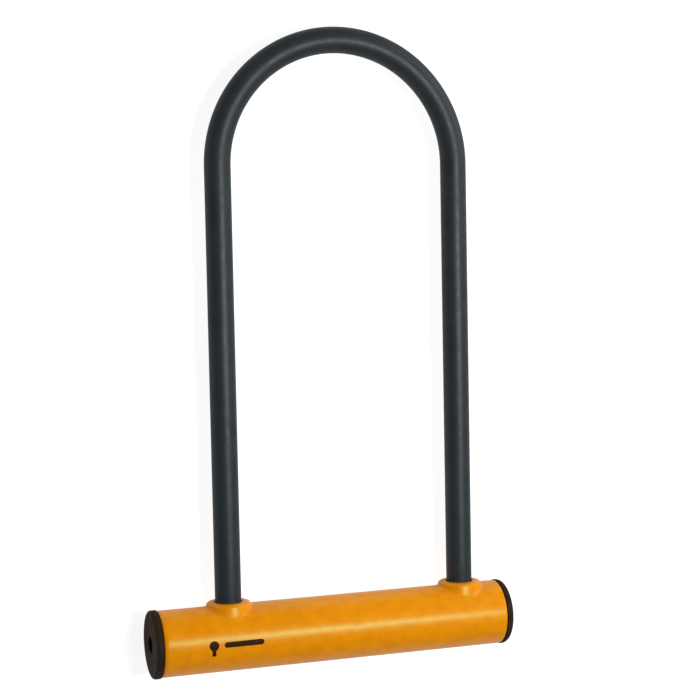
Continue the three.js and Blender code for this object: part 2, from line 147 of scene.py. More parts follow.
ON_X, ON_Y, ON_Z = Vector((1, 0, 0)), Vector((0, 1, 0)), Vector((0, 0, 1))
CROSSBAR_AXIS = (0, 0, AXIS_Z)

# ---- How finely the shapes are drawn ----

SIDE_STEPS = 48  # quads along one side of a collar's patch
OUTER_RINGS = 16  # rings of quads round a collar's foot
INNER_RINGS = 8  # rings of quads round its bore, inside the sleeve
RING_CROWDING = 1.3  # above 1, the rings are closer together near the hole
FILLET_STEPS = 8
WALL_STEPS = 3
LIP_STEPS = 10
CROWN_STEPS = 2
BORE_ROUND_STEPS = 5
CAP_SIDES = 128
KEYHOLE_ROUND_STEPS = 6
KEY_CAP_EDGE_STEPS = 10
BLIND_CAP_EDGE_STEPS = 14
CORNER_STEPS = 4
LEG_STEPS = 12
BEND_STEPS = 128
SHACKLE_SIDES = 64
RING_SIDES = 64
ROD_SIDES = 48
PLUG_SIDES = 96
CHAMBER_SIDES = 32

SMOOTH_ANGLE = 32  # edges that turn by more degrees than this are shaded sharp
SLEEVE_SMOOTH_ANGLE = 50
SPRING_SMOOTH_ANGLE = 60
WELD_DISTANCE = 1e-7
SLIVER_SIZE = 1e-8
HAIR = 1e-9  # less than any size that matters

# ---- Mesh helpers ----


def arc(centre, radii, start, end, steps):
    """Points on an elliptical arc, with the angles in degrees."""
    points = []
    for i in range(steps + 1):
        angle = math.radians(start + (end - start) * i / steps)
        points.append((centre[0] + radii[0] * math.cos(angle), centre[1] + radii[1] * math.sin(angle)))
    return points


def between(a, b, steps):
    """Points from a to b, without a itself."""
    return [tuple(p + (q - p) * i / steps for p, q in zip(a, b)) for i in range(1, steps + 1)]


def bezier(a, b, c, steps):
    """Points on a quadratic curve from a to c, bent towards b, without a itself."""
    points = []
    for i in range(1, steps + 1):
        t = i / steps
        points.append(tuple(p * (1 - t) ** 2 + q * 2 * t * (1 - t) + r * t * t for p, q, r in zip(a, b, c)))
    return points


class Shell:
    """Gathers rows of points and the quads between them into one mesh."""

    def __init__(self):
        self.verts = []
        self.faces = []

    def rows(self, rows, around=True, along=False):
        """Joins rows of equal length. around closes each row, and along joins the last row to the first."""
        first, width = len(self.verts), len(rows[0])
        for row in rows:
            self.verts.extend(row)
        for r in range(len(rows) if along else len(rows) - 1):
            for c in range(width if around else width - 1):
                corners = ((r, c), (r, c + 1), (r + 1, c + 1), (r + 1, c))
                self.faces.append([first + (i % len(rows)) * width + j % width for i, j in corners])

    def build(self, name, sharp=SMOOTH_ANGLE):
        mesh = bpy.data.meshes.new(name)
        mesh.from_pydata([laid(v) for v in self.verts], [], self.faces)
        tidy(mesh, sharp)
        obj = bpy.data.objects.new(name, mesh)
        bpy.context.scene.collection.objects.link(obj)
        return obj


def tidy(mesh, sharp):
    """Welds doubled points, drops empty faces and bare edges, turns the faces out and shades them smooth."""
    bm = bmesh.new()
    bm.from_mesh(mesh)
    bmesh.ops.remove_doubles(bm, verts=bm.verts, dist=WELD_DISTANCE)
    bmesh.ops.dissolve_degenerate(bm, edges=bm.edges, dist=SLIVER_SIZE)
    bare_edges = [edge for edge in bm.edges if not edge.link_faces]
    bmesh.ops.delete(bm, geom=bare_edges, context="EDGES")
    bmesh.ops.recalc_face_normals(bm, faces=bm.faces)
    bm.to_mesh(mesh)
    bm.free()
    mesh.shade_smooth()
    mesh.set_sharp_from_angle(angle=math.radians(sharp))


def finish_piece(obj, material, body, slot, *nodes):
    obj.data.materials.clear()
    obj.data.materials.append(material)
    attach(obj, body)
    if nodes:
        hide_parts(*nodes)
    return obj


def turned(name, axis, centre, profile, sides):
    """A closed profile of (place along the axis, radius) turned about an axis through centre."""
    side = Vector((axis.y, axis.z, axis.x))
    other = axis.cross(side)
    turns = [2 * math.pi * i / sides for i in range(sides)]
    shell, rows = Shell(), []
    for along, radius in profile:
        middle = Vector(centre) + axis * along
        rows.append([middle + radius * (side * math.cos(a) + other * math.sin(a)) for a in turns])
    shell.rows(rows, along=True)
    return shell.build(name)


def rod_profile(start, end, radius, ease):
    """A solid rod with a bevel of this size on each end."""
    first = [(start, 0), (start, radius - ease), (start + ease, radius)]
    return first + [(end - ease, radius), (end, radius - ease), (end, 0)]


def box_object(low, high):
    shell = Shell()
    loop = [(low[0], low[1]), (high[0], low[1]), (high[0], high[1]), (low[0], high[1])]
    middle = ((low[0] + high[0]) / 2, (low[1] + high[1]) / 2)
    rows = [[(*middle, low[2])] * 4, [(*p, low[2]) for p in loop], [(*p, high[2]) for p in loop]]
    rows.append([(*middle, high[2])] * 4)
    shell.rows(rows)
    return shell.build("cutter")


def cut(obj, cutters):
    """Takes each cutter away from obj and deletes the cutters."""
    for cutter in cutters:
        step = obj.modifiers.new("cut", "BOOLEAN")
        step.operation = "DIFFERENCE"
        step.solver = "EXACT"
        step.object = cutter
    baked = bpy.data.meshes.new_from_object(obj.evaluated_get(bpy.context.evaluated_depsgraph_get()))
    obj.modifiers.clear()
    obj.data = baked
    tidy(obj.data, SMOOTH_ANGLE)
    for cutter in cutters:
        bpy.data.objects.remove(cutter)


# ---- Materials ----


def srgb(red, green, blue):
    """A colour given as 0 to 255 screen values, as the linear colour that a shader takes."""
    linear = []
    for value in (red, green, blue):
        share = value / 255
        linear.append(share / 12.92 if share <= 0.04045 else ((share + 0.055) / 1.055) ** 2.4)
    return (*linear, 1)


EVEN = (1, 1, 1)  # detail that is as long as it is wide
NOISE_LOW = 0.3  # noise below this takes the first colour or roughness
NOISE_HIGH = 0.7  # noise above this takes the second


class Finish:
    """A Principled material with a few ways to add detail to it."""

    def __init__(self, name, roughness, metallic=0.0, specular=0.5):
        self.material = bpy.data.materials.new(name)
        self.material.use_nodes = True
        self.nodes = self.material.node_tree.nodes
        self.links = self.material.node_tree.links
        self.shader = self.nodes["Principled BSDF"]
        self.shader.inputs["Roughness"].default_value = roughness
        self.shader.inputs["Metallic"].default_value = metallic
        self.shader.inputs["Specular IOR Level"].default_value = specular
        self.place = self.nodes.new("ShaderNodeTexCoord").outputs["Object"]

    def noise(self, scale, detail, stretch):
        """Noise with this many bumps to the metre along each axis."""
        mapping = self.nodes.new("ShaderNodeMapping")
        mapping.inputs["Scale"].default_value = stretch
        texture = self.nodes.new("ShaderNodeTexNoise")
        texture.inputs["Scale"].default_value = scale
        texture.inputs["Detail"].default_value = detail
        self.links.new(self.place, mapping.inputs["Vector"])
        self.links.new(mapping.outputs["Vector"], texture.inputs["Vector"])
        return texture.outputs["Fac"]

    def colour(self, low, high, scale, detail=3.0):
        """Spreads the base colour between two colours."""
        ramp = self.nodes.new("ShaderNodeValToRGB")
        ramp.color_ramp.elements[0].position = NOISE_LOW
        ramp.color_ramp.elements[0].color = low
        ramp.color_ramp.elements[1].position = NOISE_HIGH
        ramp.color_ramp.elements[1].color = high
        self.links.new(self.noise(scale, detail, EVEN), ramp.inputs["Fac"])
        self.links.new(ramp.outputs["Color"], self.shader.inputs["Base Color"])

    def vary_roughness(self, low, high, scale, detail=4.0):
        """Spreads the roughness between two values."""
        spread = self.nodes.new("ShaderNodeMapRange")
        spread.inputs["From Min"].default_value = NOISE_LOW
        spread.inputs["From Max"].default_value = NOISE_HIGH
        spread.inputs["To Min"].default_value = low
        spread.inputs["To Max"].default_value = high
        self.links.new(self.noise(scale, detail, EVEN), spread.inputs["Value"])
        self.links.new(spread.outputs["Result"], self.shader.inputs["Roughness"])

    def bump(self, depth, scale, detail=3.0, stretch=EVEN):
        """Adds surface relief this many metres deep, on top of any already there."""
        bump = self.nodes.new("ShaderNodeBump")
        bump.inputs["Strength"].default_value = 1.0
        bump.inputs["Distance"].default_value = depth
        self.links.new(self.noise(scale, detail, stretch), bump.inputs["Height"])
        normal = self.shader.inputs["Normal"]
        if normal.is_linked:
            self.links.new(normal.links[0].from_socket, bump.inputs["Normal"])
        self.links.new(bump.outputs["Normal"], normal)


def orange_plastic():
    finish = Finish("orange_plastic", roughness=0.32, specular=0.3)
    finish.shader.inputs["Specular Tint"].default_value = (0.35, 1.0, 0.45, 1)
    finish.colour(srgb(223, 135, 0), srgb(236, 147, 2), scale=170, detail=5.0)
    finish.bump(0.01 * MM, scale=900, detail=2.0)
    return finish.material


def black_plastic():
    finish = Finish("black_plastic", roughness=0.62, specular=0.05)
    finish.colour(srgb(42, 31, 20), srgb(52, 39, 27), scale=140)
    finish.vary_roughness(0.56, 0.68, scale=500)
    finish.bump(0.05 * MM, scale=2200)
    return finish.material


def vinyl_coat():
    finish = Finish("vinyl_coat", roughness=0.45, specular=0.26)
    finish.colour(srgb(35, 42, 47), srgb(41, 48, 53), scale=90)
    finish.vary_roughness(0.41, 0.49, scale=260)
    finish.bump(0.02 * MM, scale=1100)
    finish.bump(0.1 * MM, scale=120, detail=1.0)
    return finish.material


def hardened_steel():
    finish = Finish("hardened_steel", roughness=0.32, metallic=1.0)
    finish.colour(srgb(126, 128, 130), srgb(158, 160, 160), scale=70, detail=6.0)
    finish.vary_roughness(0.24, 0.42, scale=700, detail=5.0)
    finish.bump(0.005 * MM, scale=1500, stretch=(1, 6, 1))
    return finish.material


def plain_steel():
    finish = Finish("plain_steel", roughness=0.4, metallic=1.0)
    finish.colour(srgb(120, 124, 128), srgb(146, 149, 152), scale=90, detail=5.0)
    finish.vary_roughness(0.32, 0.5, scale=500, detail=5.0)
    finish.bump(0.006 * MM, scale=1800, stretch=(0.2, 1, 1))
    return finish.material


def spring_steel():
    finish = Finish("spring_steel", roughness=0.25, metallic=1.0)
    finish.colour(srgb(170, 174, 178), srgb(196, 199, 202), scale=900)
    finish.vary_roughness(0.2, 0.32, scale=2500)
    return finish.material


def machined_brass():
    finish = Finish("machined_brass", roughness=0.3, metallic=1.0)
    finish.colour(srgb(184, 142, 66), srgb(206, 168, 88), scale=120, detail=4.0)
    finish.vary_roughness(0.24, 0.4, scale=900)
    finish.bump(0.006 * MM, scale=2600, stretch=(6, 1, 1))
    return finish.material


def cast_zinc():
    finish = Finish("cast_zinc", roughness=0.5, metallic=1.0)
    finish.colour(srgb(140, 142, 144), srgb(166, 168, 170), scale=160, detail=5.0)
    finish.vary_roughness(0.42, 0.6, scale=800)
    finish.bump(0.06 * MM, scale=1400, detail=4.0)
    return finish.material


def black_nylon():
    finish = Finish("black_nylon", roughness=0.55)
    finish.colour(srgb(30, 31, 33), srgb(40, 41, 43), scale=200)
    finish.vary_roughness(0.48, 0.62, scale=900)
    finish.bump(0.04 * MM, scale=2400)
    return finish.material


def soft_rubber():
    finish = Finish("soft_rubber", roughness=0.85, specular=0.3)
    finish.colour(srgb(20, 20, 21), srgb(30, 30, 31), scale=250)
    finish.vary_roughness(0.78, 0.92, scale=600)
    finish.bump(0.08 * MM, scale=1600, detail=4.0)
    return finish.material


def dark_ink():
    finish = Finish("dark_ink", roughness=0.45, specular=0.05)
    finish.colour(srgb(44, 26, 4), srgb(52, 31, 6), scale=300)
    finish.vary_roughness(0.4, 0.5, scale=900)
    return finish.material


SLOT_FINISHES = {
    "sleeve_orange": orange_plastic(),
    "cap_black": black_plastic(),
    "shackle_vinyl": vinyl_coat(),
    "hardened_steel": hardened_steel(),
    "plain_steel": plain_steel(),
    "spring_steel": spring_steel(),
    "brass": machined_brass(),
    "zinc": cast_zinc(),
    "nylon": black_nylon(),
    "rubber": soft_rubber(),
}


def dress_cad_nodes():
    """Every CAD node takes the finish of its slot, including those that finer pieces replace."""
    for part in frame["record"]["subparts"]:
        mesh = frame["nodes"][part["node"]].data
        mesh.materials.clear()
        mesh.materials.append(SLOT_FINISHES[part["material_slot"]])


# ---- Sleeve with its two collars ----


def on_pipe(radius, x, turn):
    """A point on a pipe round the crossbar's axis. The turn is from the top towards +Y."""
    return (x, radius * math.sin(turn), AXIS_Z + radius * math.cos(turn))


def patch_edge(low_x, high_x):
    """Points round the edge of the pipe's top half between two x values, as (x, turn)."""
    quarter = math.pi / 2
    corners = [(low_x, -quarter), (high_x, -quarter), (high_x, quarter), (low_x, quarter)]
    points = []
    for i, corner in enumerate(corners):
        points.append(corner)
        points.extend(between(corner, corners[(i + 1) % 4], SIDE_STEPS)[:-1])
    return points


def spoke_angles():
    """The angle round the leg of each point of a patch's edge, on a square for even spokes."""
    square = [(-1, -1), (1, -1), (1, 1), (-1, 1)]
    angles = []
    for i, corner in enumerate(square):
        side = [corner] + between(corner, square[(i + 1) % 4], SIDE_STEPS)[:-1]
        angles.extend(math.atan2(v, u) for u, v in side)
    return angles


def pipe_height(radius, reach, angle):
    """How high the pipe's surface is at this reach and angle from a leg's axis."""
    return AXIS_Z + math.sqrt(radius**2 - (reach * math.sin(angle)) ** 2)


def pipe_patch(shell, radius, low_x, high_x, leg_x, hole_r, rings):
    """The top half of a pipe between two x values, with a round hole for a leg."""
    edge, rows = patch_edge(low_x, high_x), []
    for ring in range(rings + 1):
        share = (ring / rings) ** RING_CROWDING
        row = []
        for (edge_x, edge_turn), angle in zip(edge, spoke_angles()):
            hole_x = leg_x + hole_r * math.cos(angle)
            hole_turn = math.asin(hole_r * math.sin(angle) / radius)
            x = hole_x + (edge_x - hole_x) * share
            row.append(on_pipe(radius, x, hole_turn + (edge_turn - hole_turn) * share))
        rows.append(row)
    shell.rows(rows)


def pipe_belly(shell, radius, xs):
    """The lower half of a pipe."""
    turns = [math.pi / 2 + math.pi * i / SIDE_STEPS for i in range(SIDE_STEPS + 1)]
    shell.rows([[on_pipe(radius, x, turn) for turn in turns] for x in xs], around=False)


def collar_profile(angle):
    """One section through a collar, from its foot on the sleeve over the lip and down the bore."""
    top = sleeve_high.z + COLLAR_CROWN
    foot_z = pipe_height(SLEEVE_R, COLLAR_FOOT_R, angle)
    slope = COLLAR_FOOT_R * math.sin(angle) ** 2 / (foot_z - AXIS_Z)
    corner_z = foot_z + slope * (COLLAR_FOOT_R - COLLAR_R)
    height = top - corner_z
    fillet = min(COLLAR_FILLET, height * COLLAR_SHARE)
    drop = min(COLLAR_LIP[1], height * COLLAR_SHARE)
    flare = COLLAR_R + (height - drop - fillet) * COLLAR_DRAFT
    points = [(COLLAR_FOOT_R, foot_z)]
    points += bezier(points[-1], (flare, corner_z), (flare, corner_z + fillet), FILLET_STEPS)
    points += between(points[-1], (COLLAR_R, top - drop), WALL_STEPS)
    lip_middle = (COLLAR_R - COLLAR_LIP[0], top - drop)
    points += arc(lip_middle, (COLLAR_LIP[0], drop), 0, 90, LIP_STEPS)[1:]
    points += between(points[-1], (COLLAR_BORE_R + BORE_ROUND, top), CROWN_STEPS)
    rim_middle = (COLLAR_BORE_R + BORE_ROUND, top - BORE_ROUND)
    points += arc(rim_middle, (BORE_ROUND, BORE_ROUND), 90, 180, BORE_ROUND_STEPS)[1:]
    inner_z = pipe_height(SLEEVE_R - SLEEVE_WALL, COLLAR_BORE_R, angle)
    points += between(points[-1], (COLLAR_BORE_R, inner_z), WALL_STEPS)
    return points


def make_sleeve():
    shell = Shell()
    inner_r = SLEEVE_R - SLEEVE_WALL
    ease = SLEEVE_END_BEVEL
    ends = {"key_side": (sleeve_low.x + ease, MID_X), "blind_side": (MID_X, sleeve_high.x - ease)}
    for side, leg_x in LEG_XS.items():
        low_x, high_x = ends[side]
        pipe_patch(shell, SLEEVE_R, low_x, high_x, leg_x, COLLAR_FOOT_R, OUTER_RINGS)
        pipe_patch(shell, inner_r, low_x, high_x, leg_x, COLLAR_BORE_R, INNER_RINGS)
        sections = [collar_profile(angle) for angle in spoke_angles()]
        rows = []
        for level in range(len(sections[0])):
            row = []
            for section, angle in zip(sections, spoke_angles()):
                reach, z = section[level]
                row.append((leg_x + reach * math.cos(angle), reach * math.sin(angle), z))
            rows.append(row)
        shell.rows(rows)
    first, middle, last = (ends["key_side"][0], MID_X, ends["blind_side"][1])
    halves = between((first,), (middle,), SIDE_STEPS) + between((middle,), (last,), SIDE_STEPS)
    xs = [first] + [x for (x,) in halves]
    pipe_belly(shell, SLEEVE_R, xs)
    pipe_belly(shell, inner_r, xs)
    turns = [math.pi * (i / SIDE_STEPS - 0.5) for i in range(2 * SIDE_STEPS)]
    for end_x, inward_x in ((sleeve_low.x, first), (sleeve_high.x, last)):
        outer_edge = [(inward_x, SLEEVE_R), (end_x, SLEEVE_R - ease)]
        inner_edge = [(end_x, inner_r + ease), (inward_x, inner_r)]
        rows = [[on_pipe(radius, x, turn) for turn in turns] for x, radius in outer_edge + inner_edge]
        shell.rows(rows)
    obj = shell.build("orange_sleeve", SLEEVE_SMOOTH_ANGLE)
    return finish_piece(obj, SLOT_FINISHES["sleeve_orange"], "crossbar", "sleeve_orange", "sleeve")


# ---- End caps ----


def make_key_cap():
    face, back = key_cap_low.x, key_cap_high.x
    rim, core = key_cap_high.y, guard_high.y + GAP + SPIGOT_WALL
    shoulder = sleeve_low.x - GAP
    hole, edge, soft = KEYHOLE_ROUND, KEY_CAP_EDGE, CAP_SHOULDER_ROUND
    profile = [(face + KEYHOLE_RIM_DEPTH, KEYHOLE_R)]
    profile += arc((face + hole, KEYHOLE_R + hole), (hole, hole), -90, -180, KEYHOLE_ROUND_STEPS)
    profile += arc((face + edge, rim - edge), (edge, edge), 180, 90, KEY_CAP_EDGE_STEPS)
    profile += arc((shoulder - soft, rim - soft), (soft, soft), 90, 0, CORNER_STEPS)
    profile += [(shoulder, core), (back, core), (back, core - SPIGOT_WALL), (shoulder, core - SPIGOT_WALL)]
    profile += [(shoulder, KEYHOLE_R)]
    obj = turned("keyhole_cap", ON_X, CROSSBAR_AXIS, profile, CAP_SIDES)
    return finish_piece(obj, SLOT_FINISHES["cap_black"], "crossbar", "cap_black", "key_end_cap")


def make_blind_cap():
    face, back = blind_cap_high.x, blind_cap_low.x
    rim, core = blind_cap_high.y, guard_high.y + GAP + SPIGOT_WALL
    shoulder = sleeve_high.x + GAP
    edge, soft = BLIND_CAP_EDGE, CAP_SHOULDER_ROUND
    profile = [(face, 0)]
    profile += arc((face - edge, rim - edge), (edge, edge), 0, 90, BLIND_CAP_EDGE_STEPS)
    profile += arc((shoulder + soft, rim - soft), (soft, soft), 90, 180, CORNER_STEPS)
    profile += [(shoulder, core), (back, core), (back, core - SPIGOT_WALL), (shoulder, core - SPIGOT_WALL)]
    profile += [(shoulder, 0)]
    obj = turned("blind_cap", ON_X, CROSSBAR_AXIS, profile, CAP_SIDES)
    return finish_piece(obj, SLOT_FINISHES["cap_black"], "crossbar", "cap_black", "blind_end_cap")


# ---- Shackle ----


def shackle_point(low_z, travelled):
    """The point and the direction this far along the shackle's middle line from the key-side foot."""
    leg, bend = BEND_Z - low_z, math.pi * LEG_SPREAD
    if travelled <= leg:
        return Vector((MID_X - LEG_SPREAD, 0, low_z + travelled)), ON_Z
    if travelled >= leg + bend:
        z = BEND_Z - (travelled - leg - bend)
        return Vector((MID_X + LEG_SPREAD, 0, z)), -ON_Z
    angle = math.pi - (travelled - leg) / LEG_SPREAD
    point = Vector((MID_X + LEG_SPREAD * math.cos(angle), 0, BEND_Z + LEG_SPREAD * math.sin(angle)))
    return point, Vector((math.sin(angle), 0, -math.cos(angle)))


def swept_along_shackle(name, low_z, profile):
    """A closed profile of (distance along the shackle, radius), swept round its middle line."""
    shell, rows = Shell(), []
    turns = [2 * math.pi * i / SHACKLE_SIDES for i in range(SHACKLE_SIDES)]
    for travelled, radius in profile:
        point, ahead = shackle_point(low_z, travelled)
        side = ON_Y.cross(ahead)
        rows.append([point + radius * (side * math.cos(a) + ON_Y * math.sin(a)) for a in turns])
    shell.rows(rows, along=True)
    return shell.build(name)


def stations(low_z, start, end):
    """Distances along the shackle: a few on the legs and close together on the bend."""
    leg, bend = BEND_Z - low_z, math.pi * LEG_SPREAD
    middle = [leg + bend * i / BEND_STEPS for i in range(BEND_STEPS + 1)]
    lower = [start + (leg - start) * i / LEG_STEPS for i in range(LEG_STEPS)]
    upper = [leg + bend + (end - leg - bend) * i / LEG_STEPS for i in range(1, LEG_STEPS + 1)]
    return lower + middle + upper


def shackle_length(low_z):
    return 2 * (BEND_Z - low_z) + math.pi * LEG_SPREAD


def make_coat():
    low_z = coat_low.z
    length, ease = shackle_length(low_z), COAT_END_ROUND
    inner_r = BAR_R + GAP
    outside = [(s, COAT_R) for s in stations(low_z, ease, length - ease)]
    inside = [(s, inner_r) for s in reversed(stations(low_z, ease, length - ease))]
    start = arc((ease, COAT_R - ease), (ease, ease), 180, 90, CORNER_STEPS)[:-1]
    end = arc((length - ease, COAT_R - ease), (ease, ease), 90, 0, CORNER_STEPS)[1:]
    profile = [(0, inner_r)] + start + outside + end + [(length, inner_r)] + inside
    obj = swept_along_shackle("vinyl_coat", low_z, profile)
    return finish_piece(obj, SLOT_FINISHES["shackle_vinyl"], "shackle", "shackle_vinyl", "shackle_coat")


def make_bar():
    low_z = bar_low.z
    length, ease = shackle_length(low_z), FOOT_CHAMFER
    body = [(s, BAR_R) for s in stations(low_z, ease, length - ease)]
    profile = [(0, 0), (0, BAR_R - ease)] + body + [(length, BAR_R - ease), (length, 0)]
    obj = swept_along_shackle("shackle_rod", low_z, profile)
    cutters = []
    for leg_x in LEG_XS.values():
        low = (leg_x - 2 * BAR_R, BAR_R - NOTCH_DEPTH, plate_low.z - NOTCH_SLACK)
        high = (leg_x + 2 * BAR_R, 2 * BAR_R, plate_high.z + NOTCH_SLACK)
        cutters.append(box_object(low, high))
    cut(obj, cutters)
    return finish_piece(obj, SLOT_FINISHES["hardened_steel"], "shackle", "hardened_steel", "shackle_bar")


# ---- Nylon rings under the collars ----


def make_bushes():
    for side, leg_x in LEG_XS.items():
        node = f"leg_bush_{side}"
        low, high = stood_box(node)
        outer, inner, edge = (high.y - low.y) / 2, BAR_R + GAP, RING_ROUND
        profile = [(low.z, inner), (low.z, outer)]
        profile += arc((high.z - edge, outer - edge), (edge, edge), 90, 0, CORNER_STEPS)
        profile += arc((high.z - edge, inner + edge), (edge, edge), 0, -90, CORNER_STEPS)
        ring = turned(f"nylon_ring_{side}", ON_Z, (leg_x, 0, 0), profile, RING_SIDES)
        finish_piece(ring, SLOT_FINISHES["nylon"], "crossbar", "nylon", node)


# ---- Foot pads, rivets, drill guard and lock cylinder ----

PAD_BEVEL = 0.4 * MM
RIVET_BEVEL = 0.3 * MM
GUARD_BEVEL = 0.2 * MM
GUARD_LEAD_IN = 0.5 * MM  # bevel round the keyhole
PIN_COUNT = 5
PIN_R = 1.2 * MM
PIN_BEVEL = 0.2 * MM
KEY_PIN_TIP = (0.4 * MM, 0.8 * MM)  # radius and length of its cone
PLUG_R = 5.5 * MM
PLUG_HEAD = 1.45 * MM
PLUG_BEVEL = 0.3 * MM
CLIP_GROOVE_R = 4.3 * MM
CHAMBER_R = 1.4 * MM
CHAMBER_FLOOR = 1 * MM  # from the plug's axis
KEYWAY_END = 2 * MM  # past the middle of the last pin
KEYWAY_BACK = 2.2 * MM  # past the plug's axis
KEYWAY_HALF = 0.65 * MM
KEYWAY_GROOVES = ((-1, -3.4 * MM), (1, -0.9 * MM))  # side of the slot, and lower edge
KEYWAY_GROOVE = (1.1 * MM, 1.3 * MM)  # reach from the slot's middle, and width
TANG_SLOT = (1.6 * MM, 1.5 * MM)  # depth and half width
WIRE_R = 0.16 * MM
WIRE_SIDES = 10
SPRING_TURNS = 6
CLOSED_TURNS = 1  # turns at each end that almost touch
CLOSED_PITCH = 2.2 * WIRE_R
TURN_STEPS = 24


def make_drill_guard():
    front, back, outer = guard_low.x, guard_high.x, guard_high.y
    profile = [(front + GUARD_BEVEL, outer), (front, outer - GUARD_BEVEL)]
    profile += [(front, KEYHOLE_R + GUARD_LEAD_IN), (front + GUARD_LEAD_IN, KEYHOLE_R)]
    profile += [(back, KEYHOLE_R), (back, outer)]
    obj = turned("guard_disc", ON_X, CROSSBAR_AXIS, profile, CAP_SIDES)
    return finish_piece(obj, SLOT_FINISHES["hardened_steel"], "crossbar", "hardened_steel", "drill_guard")


def make_rod(name, node, axis, body, slot, ease):
    """A round piece in place of a CAD rod, along one axis."""
    low, high = stood_box(node)
    middle = (low + high) / 2
    start, end = low.dot(axis), high.dot(axis)
    across = high - low - axis * (end - start)
    profile = rod_profile(start, end, max(across) / 2, ease)
    obj = turned(name, axis, middle - axis * middle.dot(axis), profile, ROD_SIDES)
    return finish_piece(obj, SLOT_FINISHES[slot], body, slot, node)


def make_key_pin(number):
    """A pin with a cone on the end that meets the key."""
    node = f"key_pin_{number}"
    low, high = stood_box(node)
    centre = ((low.x + high.x) / 2, 0, (low.z + high.z) / 2)
    tip_r, tip_length = KEY_PIN_TIP
    profile = [(low.y, 0), (low.y, tip_r), (low.y + tip_length, PIN_R)]
    profile += [(high.y - PIN_BEVEL, PIN_R), (high.y, PIN_R - PIN_BEVEL), (high.y, 0)]
    obj = turned(f"pointed_pin_{number}", ON_Y, centre, profile, ROD_SIDES)
    return finish_piece(obj, SLOT_FINISHES["brass"], node, "brass", node)


def make_plug():
    """The turning plug, with a groove for its clip, a warded keyway, chambers and a slot for the cam."""
    start, end, head_r = plug_low.x, plug_high.x, (plug_high.z - plug_low.z) / 2
    profile = [(start, 0), (start, head_r - PLUG_BEVEL), (start + PLUG_BEVEL, head_r)]
    profile += [(start + PLUG_HEAD, head_r), (start + PLUG_HEAD, PLUG_R)]
    profile += [(clip_low.x - GAP, PLUG_R), (clip_low.x - GAP, CLIP_GROOVE_R)]
    profile += [(clip_high.x + GAP, CLIP_GROOVE_R), (clip_high.x + GAP, PLUG_R)]
    profile += [(end - PLUG_BEVEL, PLUG_R), (end, PLUG_R - PLUG_BEVEL), (end, 0)]
    obj = turned("brass_plug", ON_X, CROSSBAR_AXIS, profile, PLUG_SIDES)
    past = head_r + GAP
    pins = [stood_box(f"key_pin_{number}") for number in range(1, PIN_COUNT + 1)]
    pin_xs = [(low.x + high.x) / 2 for low, high in pins]
    keyway_x = (start - GAP, pin_xs[-1] + KEYWAY_END)
    low = (keyway_x[0], -past, AXIS_Z - KEYWAY_HALF)
    cutters = [box_object(low, (keyway_x[1], KEYWAY_BACK, AXIS_Z + KEYWAY_HALF))]
    reach, width = KEYWAY_GROOVE
    for side, low_y in KEYWAY_GROOVES:
        z = sorted((AXIS_Z, AXIS_Z + side * reach))
        low = (keyway_x[0] - GAP, low_y, z[0])
        cutters.append(box_object(low, (keyway_x[1] - GAP, low_y + width, z[1])))
    depth, half = TANG_SLOT
    cutters.append(box_object((end - depth, -past, AXIS_Z - half), (end + GAP, past, AXIS_Z + half)))
    for x in pin_xs:
        chamber = [(CHAMBER_FLOOR, 0), (CHAMBER_FLOOR, CHAMBER_R), (past, CHAMBER_R), (past, 0)]
        cutters.append(turned("cutter", ON_Y, (x, 0, AXIS_Z), chamber, CHAMBER_SIDES))
    cut(obj, cutters)
    return finish_piece(obj, SLOT_FINISHES["brass"], "plug", "brass", "plug")


def spring_rise(turn, height):
    """How far up a spring of this height its wire is after this many turns."""
    open_turns = SPRING_TURNS - 2 * CLOSED_TURNS
    open_pitch = (height - 2 * CLOSED_TURNS * CLOSED_PITCH) / open_turns
    opened = min(max(turn - CLOSED_TURNS, 0), open_turns)
    return (turn - opened) * CLOSED_PITCH + opened * open_pitch


def make_spring(number):
    """Wound wire over one driver pin, drawn at one fixed height."""
    node, pin_joint = f"pin_spring_{number}", f"driver_pin_{number}_slide"
    low, high = stood_box(node)
    pin_low, pin_high = stood_box(f"driver_pin_{number}")
    middle_x = (pin_low.x + pin_high.x) / 2
    coil_r = (high.y - low.y) / 2 - WIRE_R
    height = high.z - low.z - 2 * WIRE_R
    angles = [2 * math.pi * i / WIRE_SIDES for i in range(WIRE_SIDES)]
    shell, rows = Shell(), []
    for step in range(SPRING_TURNS * TURN_STEPS + 1):
        turn = step / TURN_STEPS
        out = Vector((math.cos(2 * math.pi * turn), math.sin(2 * math.pi * turn), 0))
        point = Vector((middle_x, 0, low.z + WIRE_R + spring_rise(turn, height))) + out * coil_r
        rows.append([point + WIRE_R * (out * math.cos(a) + ON_Z * math.sin(a)) for a in angles])
    first, last = (sum(row, Vector()) / WIRE_SIDES for row in (rows[0], rows[-1]))
    shell.rows([[first] * WIRE_SIDES, *rows, [last] * WIRE_SIDES])
    obj = shell.build(f"coil_spring_{number}", SPRING_SMOOTH_ANGLE)
    finish_piece(obj, SLOT_FINISHES["spring_steel"], "crossbar", "spring_steel", node)
    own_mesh(obj)


# ---- Printed pictogram on the front: a keyhole and a plain bar ----

PRINT_X = 26 * MM  # from the sleeve's key end to the middle of the keyhole
PRINT_UP = 0.5 * MM  # above the crossbar's axis
PRINT_DEPTH = 0.04 * MM
KEYHOLE_MARK_R = 2.6 * MM
KEYHOLE_MARK_SKIRT = (1.1 * MM, 5.6 * MM)  # half width and length below the middle
BAR_MARK_X = (5.5 * MM, 27 * MM)  # from the middle of the keyhole
BAR_MARK_HALF = 1.5 * MM
COLUMN_STEPS = 8
KEYHOLE_MARK_STEPS = 24
BAR_MARK_STEPS = 12


